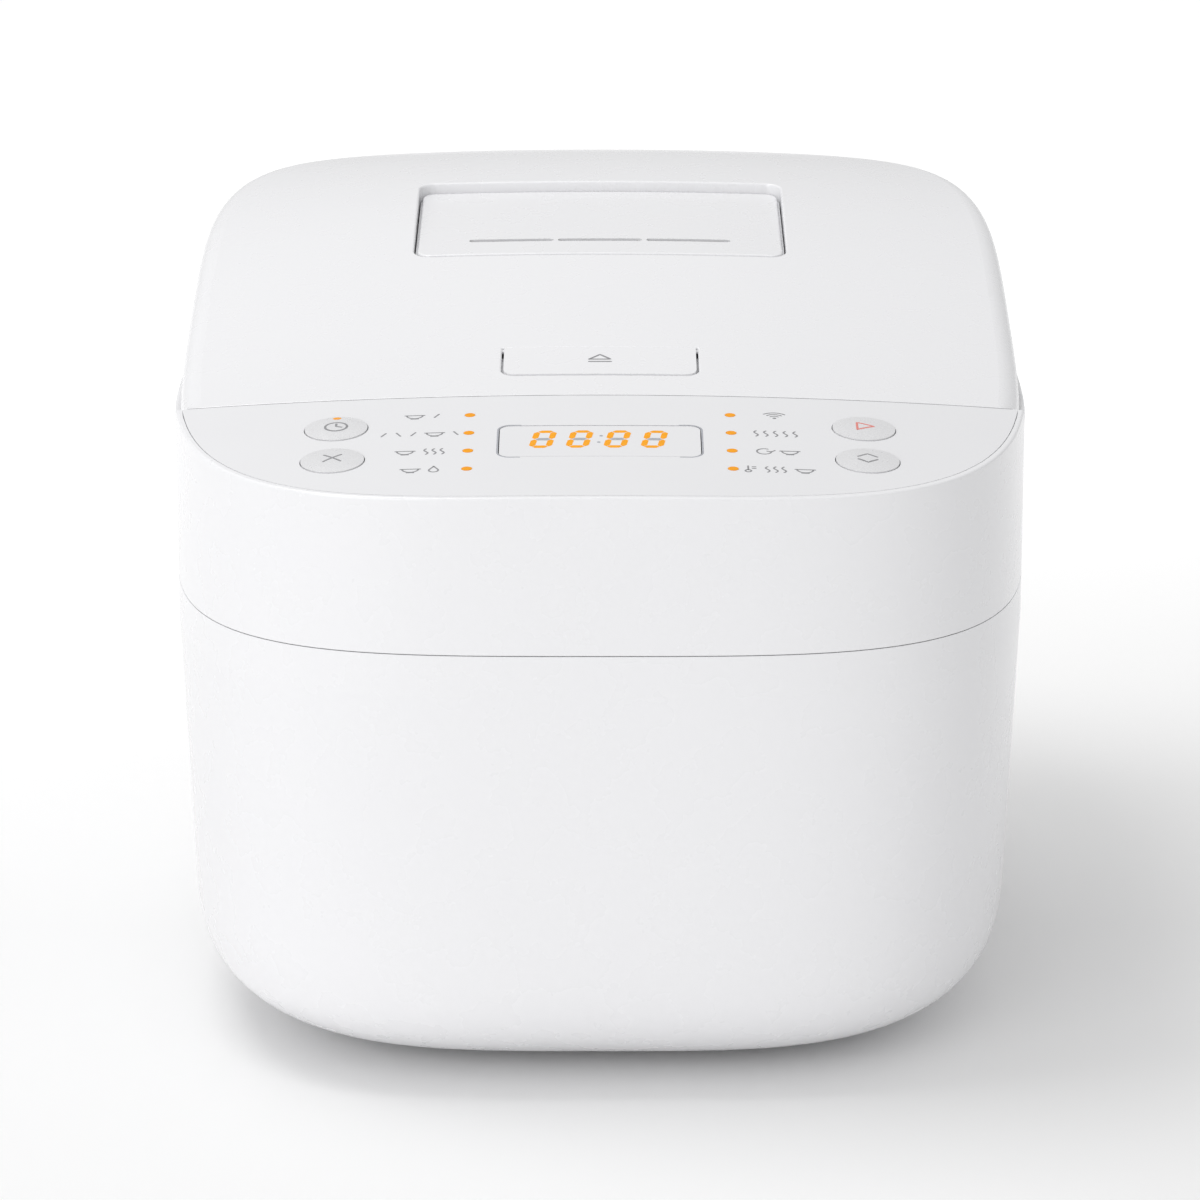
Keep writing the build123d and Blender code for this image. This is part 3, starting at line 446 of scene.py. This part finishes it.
def stroke_into(bm, points, width, height, lift):
    """Adds one printed stroke to bm: a thin ribbon that follows the surface under it."""
    left, right, (first, last) = outline_stroke(densify(points), width)

    def top(p):
        return vertex(bm, p.x, p.y, height(p.x, p.y) + lift)

    lefts, rights = [top(p) for p in left], [top(p) for p in right]
    start_cap = [top(p) for p in first]
    end_cap = [top(p) for p in last]
    for i in range(len(lefts) - 1):
        bm.faces.new((rights[i], rights[i + 1], lefts[i + 1], lefts[i]))
    bm.faces.new([rights[0], lefts[0]] + start_cap)
    bm.faces.new([lefts[-1], rights[-1]] + end_cap)


def new_piece(name, bm, material, body):
    bmesh.ops.recalc_face_normals(bm, faces=bm.faces)
    mesh = bpy.data.meshes.new(name)
    bm.to_mesh(mesh)
    bm.free()
    piece = bpy.data.objects.new(name, mesh)
    bpy.context.scene.collection.objects.link(piece)
    mesh.materials.append(MATERIALS[material])
    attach(piece, body)
    return piece


def thicken(bm, depth):
    """Gives flat marks a body, so that each is a closed solid that sinks into the surface."""
    made = bmesh.ops.extrude_face_region(bm, geom=bm.faces[:])
    verts = [v for v in made["geom"] if isinstance(v, bmesh.types.BMVert)]
    bmesh.ops.translate(bm, verts=verts, vec=(0, 0, depth * MM))


def loft_into(bm, sections):
    """Skins a row of rings of vertices, and closes both ends."""
    for a, b in zip(sections, sections[1:]):
        for k in range(len(a)):
            after = (k + 1) % len(a)
            bm.faces.new((a[k], a[after], b[after], b[k]))
    bm.faces.new(sections[0])
    bm.faces.new(sections[-1])


# ---- printed icons --------------------------------------------------------------------
# Each icon is a list of strokes round (cx, 0), in millimetres before ICON_SCALE.
def bowl(cx):
    rim = [(cx - 2.3, 0.5), (cx + 2.3, 0.5)]
    foot = [(cx - 0.8, -1.7), (cx + 0.8, -1.7)]
    return [arc(cx, 0.5, 1.9, 180, 360, 12), rim, foot]


def rice_grain(cx, lean=0.5):
    return [[(cx - lean, -1.0), (cx + lean, 1.0)]]


def drop(cx):
    return [[(cx, 1.9), (cx - 0.9, 0.1)] + arc(cx, -0.5, 1.1, 150, 390, 12) + [(cx, 1.9)]]


def waves(cx, count, gap=1.9):
    return [wave(cx + (k - (count - 1) / 2) * gap, -1.7, 1.7, 0.45) for k in range(count)]


def signal(cx):
    return [arc(cx, -1.4, r, 45, 135, 8) for r in (1.3, 2.4, 3.5)] + [arc(cx, -1.4, 0.25, 0, 330, 8)]


def loop_arrow(cx):
    return [arc(cx, 0, 1.7, 60, 360, 16), [(cx + 0.7, 0.2), (cx + 1.7, -0.2), (cx + 2.5, 0.7)]]


def thermometer(cx):
    return [[(cx, 1.9), (cx, -0.5)], arc(cx, -1.1, 0.7, 90, 440, 12), [(cx + 1.0, 1.4), (cx + 1.7, 1.4)],
            [(cx + 1.0, 0.4), (cx + 1.7, 0.4)]]


PANEL_ROWS = (-101.6, -116.5, -131.2, -145.8)       # the rows of lamps, from the lid forwards
LABEL_LEFT, LABEL_RIGHT = -54.5, 53.7
LABELS = {
    (LABEL_LEFT, 0): bowl(-2) + rice_grain(3.2),
    (LABEL_LEFT, 1): (rice_grain(-9) + rice_grain(-5.5, -0.5) + rice_grain(-2) + bowl(3)
                      + rice_grain(8, -0.5)),
    (LABEL_LEFT, 2): bowl(-3.6) + waves(3.2, 3),
    (LABEL_LEFT, 3): bowl(-2) + drop(3.4),
    (LABEL_RIGHT, 0): signal(0),
    (LABEL_RIGHT, 1): waves(0, 5, 2.3),
    (LABEL_RIGHT, 2): loop_arrow(-3) + bowl(3),
    (LABEL_RIGHT, 3): thermometer(-7) + waves(-0.6, 3) + bowl(6.2),
}
INK_WIDTH, ICON_SCALE = 0.55, 1.3
MARK_WIDTH, MARK_SCALE, MARK_THICK = INK_WIDTH + 0.15, 1.3, 2.6 * INK_LIFT
DOME_RADIUS, DOME_RISE = 60.0, 1.1                  # the domed top of a button's cap
OPEN_MARK_Y, OPEN_MARK_WIDTH = -56.9, 0.75
BUTTON_X, BUTTON_BACK, BUTTON_FRONT = 81.0, -110.0, -136.3
BUTTON_MARKS = {
    "timer": (-BUTTON_X, BUTTON_BACK, [arc(0, -0.4, 2.6, 0, 360, 24), [(0, 1.2), (0, -0.4), (1.3, -0.9)]]),
    "cancel": (-BUTTON_X, BUTTON_FRONT, [[(-2, -2), (2, 2)], [(-2, 2), (2, -2)]]),
    "start": (BUTTON_X, BUTTON_BACK, [[(-1.6, -2.2), (2.4, 0), (-1.6, 2.2), (-1.6, -2.2)]]),
    "select": (BUTTON_X, BUTTON_FRONT,
               [[(-2.2, 0.8), (0, 2.6), (2.2, 0.8)], [(-2.2, -0.8), (0, -2.6), (2.2, -0.8)]]),
}


def print_labels():
    bm = bmesh.new()
    for (cx, row), strokes in LABELS.items():
        cy = PANEL_ROWS[row]
        for stroke in strokes:
            placed = [(cx + ICON_SCALE * x, cy + ICON_SCALE * y) for x, y in stroke]
            stroke_into(bm, placed, INK_WIDTH, panel_height, -INK_LIFT)
    thicken(bm, 2 * INK_LIFT)
    new_piece("panel_marks", bm, "ink", "base")


def cap_height(cx, cy):
    """Surface of a domed button cap centred at (cx, cy)."""
    lean_x, lean_y = -2 * CROWN * cx, PANEL_SLOPE

    def height(x, y):
        u, v = x - cx, y - cy
        dome = DOME_RISE - (u * u + v * v) / (2 * DOME_RADIUS)
        return panel_height(cx, cy) + lean_x * u + lean_y * v + dome

    return height


def print_button_marks():
    for name, (cx, cy, strokes) in BUTTON_MARKS.items():
        bm = bmesh.new()
        for stroke in strokes:
            placed = [(cx + MARK_SCALE * x, cy + MARK_SCALE * y) for x, y in stroke]
            stroke_into(bm, placed, MARK_WIDTH, cap_height(cx, cy), -INK_LIFT)
        thicken(bm, MARK_THICK)
        colour = "red_ink" if name == "start" else "ink"
        new_piece(name + "_mark", bm, colour, name + "_button")


def open_mark():
    """Generic open sign on the lid's button: a triangle over a bar."""
    strokes = [[(-3.4, -0.9), (0, 2.6), (3.4, -0.9), (-3.4, -0.9)], [(-3.4, -2.7), (3.4, -2.7)]]
    bm = bmesh.new()
    for stroke in strokes:
        placed = [(x, OPEN_MARK_Y + y) for x, y in stroke]
        stroke_into(bm, placed, OPEN_MARK_WIDTH, lid_height, -INK_LIFT)
    thicken(bm, 2 * INK_LIFT)
    new_piece("open_mark", bm, "ink", "open_button")


# ---- the clock display ----------------------------------------------------------------
DIGIT_TALL, DIGIT_WIDE, DIGIT_STROKE = 14.2, 7.0, 1.9
DIGIT_LEAN = math.tan(math.radians(8))
DIGIT_Y = -122.5
DIGIT_XS = (-17.4, -6.2, 5.3, 16.6)
DIGIT_SINK = 0.12           # from the panel's surface to the print's underside; the window's top is 0.1 down
DIGIT_THICK = 0.06
SEGMENT_GAP = 0.22
COLON_RISE, COLON_R = 2.6, 0.55
FRAME_HALF_X, FRAME_HALF_Y, FRAME_CORNER = 31.2, 13.2, 4.0
FRAME_Y = -124.0
FRAME_LINE_HALF = 0.28
SEGMENTS = {
    "top": ((0, 1), (1, 1)), "middle": ((0, 0.5), (1, 0.5)), "bottom": ((0, 0), (1, 0)),
    "upper_left": ((0, 0.5), (0, 1)), "upper_right": ((1, 0.5), (1, 1)),
    "lower_left": ((0, 0), (0, 0.5)), "lower_right": ((1, 0), (1, 0.5)),
}


def segment(start, end):
    """Six-sided bar of a seven-segment digit, from one corner of its grid to the next."""
    a, b = Vector(start), Vector(end)
    along = (b - a).normalized()
    across = Vector((-along.y, along.x)) * DIGIT_STROKE / 2
    gap = along * SEGMENT_GAP
    tip = along * DIGIT_STROKE / 2
    return [a + gap, a + gap + tip + across, b - gap - tip + across, b - gap, b - gap - tip - across,
            a + gap + tip - across]


def flat_into(bm, points):
    """Adds a flat shape to the display."""
    bm.faces.new([vertex(bm, x, y, panel_height(x, y) - DIGIT_SINK) for x, y in points])


def clock_digits(piece, finish, lit):
    """The clock's lit segments, or the ones that are off."""
    bm = bmesh.new()
    wide, tall = DIGIT_WIDE - DIGIT_STROKE, DIGIT_TALL - DIGIT_STROKE
    for cx in DIGIT_XS:
        for name, (start, end) in SEGMENTS.items():
            if (name != "middle") != lit:
                continue
            ends = [((u - 0.5) * wide, (v - 0.5) * tall) for u, v in (start, end)]
            flat_into(bm, [(cx + p.x + DIGIT_LEAN * p.y, DIGIT_Y + p.y) for p in segment(*ends)])
    thicken(bm, DIGIT_THICK)
    new_piece(piece, bm, finish, "base")


def clock_colon():
    bm = bmesh.new()
    for dy in (-COLON_RISE, COLON_RISE):
        flat_into(bm, arc(DIGIT_LEAN * dy, DIGIT_Y + dy, COLON_R, 0, 345, 23))
    thicken(bm, DIGIT_THICK)
    new_piece("clock_colon", bm, "line", "base")


def display_frame():
    """Thin printed line round the display window."""
    across_x, across_y = FRAME_HALF_X - FRAME_CORNER, FRAME_HALF_Y - FRAME_CORNER
    path = []
    for side, end, start in ((1, 1, 0), (-1, 1, 90), (-1, -1, 180), (1, -1, 270)):
        path += arc(side * across_x, FRAME_Y + end * across_y, FRAME_CORNER, start, start + 90, 8)
    bm = bmesh.new()
    inner, outer = [], []
    for i, p in enumerate(path):
        ahead, behind = Vector(path[(i + 1) % len(path)]), Vector(path[i - 1])
        along = (ahead - behind).normalized()
        across = Vector((along.y, -along.x)) * FRAME_LINE_HALF
        for ring, q in ((outer, Vector(p) + across), (inner, Vector(p) - across)):
            ring.append(vertex(bm, q.x, q.y, panel_height(q.x, q.y) - INK_LIFT))
    count = len(path)
    for i in range(count):
        j = (i + 1) % count
        bm.faces.new((outer[i], outer[j], inner[j], inner[i]))
    thicken(bm, 2 * INK_LIFT)
    new_piece("display_frame", bm, "line", "base")


# ---- level marks, painted seam shade and springs --------------------------------------
LEVEL_LOW, LEVEL_STEP, LEVEL_COUNT = 84.0, 11.0, 8
LEVEL_LONG, LEVEL_SHORT = 5.5, 3.2          # half of a mark's length, in degrees round the pot
LEVEL_HALF = 0.4                            # half of a mark's height
LEVEL_PROUD, LEVEL_SINK = 0.12, 0.3         # out of and into the pot's wall
STRIP_REACH, STRIP_HALF = 128.5, 0.29       # half of the strip's length and width
STRIP_DROP, STRIP_THICK = 0.08, 1.0         # its top under the panel's surface, and its body


def pot_levels():
    """Moulded level marks up the back of the pot's inside wall, long and short in turn."""
    bm = bmesh.new()
    cx, cy = POT_CENTRE
    inner, outer = POT_INSIDE_R - LEVEL_PROUD, POT_INSIDE_R + LEVEL_SINK
    steps = 8
    for k in range(LEVEL_COUNT):
        z, half = LEVEL_LOW + k * LEVEL_STEP, LEVEL_SHORT if k % 2 else LEVEL_LONG
        low, high = z - LEVEL_HALF, z + LEVEL_HALF
        sections = []
        for i in range(steps + 1):
            turn = math.radians(90 - half + 2 * half * i / steps)
            sections.append([vertex(bm, cx + r * math.cos(turn), cy + r * math.sin(turn), h)
                             for r, h in ((inner, low), (inner, high), (outer, high), (outer, low))])
        loft_into(bm, sections)
    new_piece("pot_levels", bm, "level", "base")


def seam_shade_strip():
    """Dark strip down in the gap between the control panel and the lid: painted shade that stands in for the
    gap's shadow.
    """
    bm = bmesh.new()
    front, back = SEAM_Y - STRIP_HALF, SEAM_Y + STRIP_HALF
    steps = 40
    sections = []
    for i in range(steps + 1):
        x = -STRIP_REACH + 2 * STRIP_REACH * i / steps
        top = panel_height(x, SEAM_Y) - STRIP_DROP
        low = top - STRIP_THICK
        sections.append([vertex(bm, x, y, z)
                         for y, z in ((front, top), (back, top), (back, low), (front, low))])
    loft_into(bm, sections)
    new_piece("seam_shade_strip", bm, "gap_shade", "base")


def coil_into(bm, cx, cy, base, radius, wire, height, turns):
    """Adds a round-wire coil spring that stands on base."""
    per_turn, sides = 30, 10
    count = turns * per_turn
    rise = (height - 2 * wire) / count
    tilt = math.atan2(rise * per_turn, 2 * math.pi * radius)
    rings = []
    for i in range(count + 1):
        turn = 2 * math.pi * i / per_turn
        out = Vector((math.cos(turn), math.sin(turn), 0))
        along = Vector((-math.sin(turn) * math.cos(tilt), math.cos(turn) * math.cos(tilt), math.sin(tilt)))
        up = out.cross(along)
        centre = Vector((cx, cy, base + wire + rise * i)) + out * radius
        rings.append([bm.verts.new((centre + (out * math.cos(a) + up * math.sin(a)) * wire) * MM)
                      for a in (2 * math.pi * k / sides for k in range(sides))])
    loft_into(bm, rings)


def spring(name, node, body, places, base, radius, wire, height, turns):
    """Round-wire coils, in place of the stiff CAD coils, which are hidden."""
    bm = bmesh.new()
    for cx, cy in places:
        coil_into(bm, cx, cy, base, radius, wire, height, turns)
    coils = new_piece(name, bm, "steel", body)
    for face in coils.data.polygons:
        face.use_smooth = True
    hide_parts(node)
    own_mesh(coils)


def springs():
    spring("sensor_coil", "sensor_spring", "base", [POT_CENTRE],
           base=24.2, radius=8.0, wire=0.8, height=25.6, turns=6)
    spring("button_coils", "button_springs", "lid", [(-22, -62), (22, -62)],
           base=199.1, radius=2.2, wire=0.35, height=7.1, turns=5)


make_camera()
make_stage()
dress_nodes()
print_labels()
print_button_marks()
clock_digits("clock_digits", "digit", True)
clock_digits("clock_unlit", "line", False)
clock_colon()
display_frame()
open_mark()
pot_levels()
seam_shade_strip()
springs()
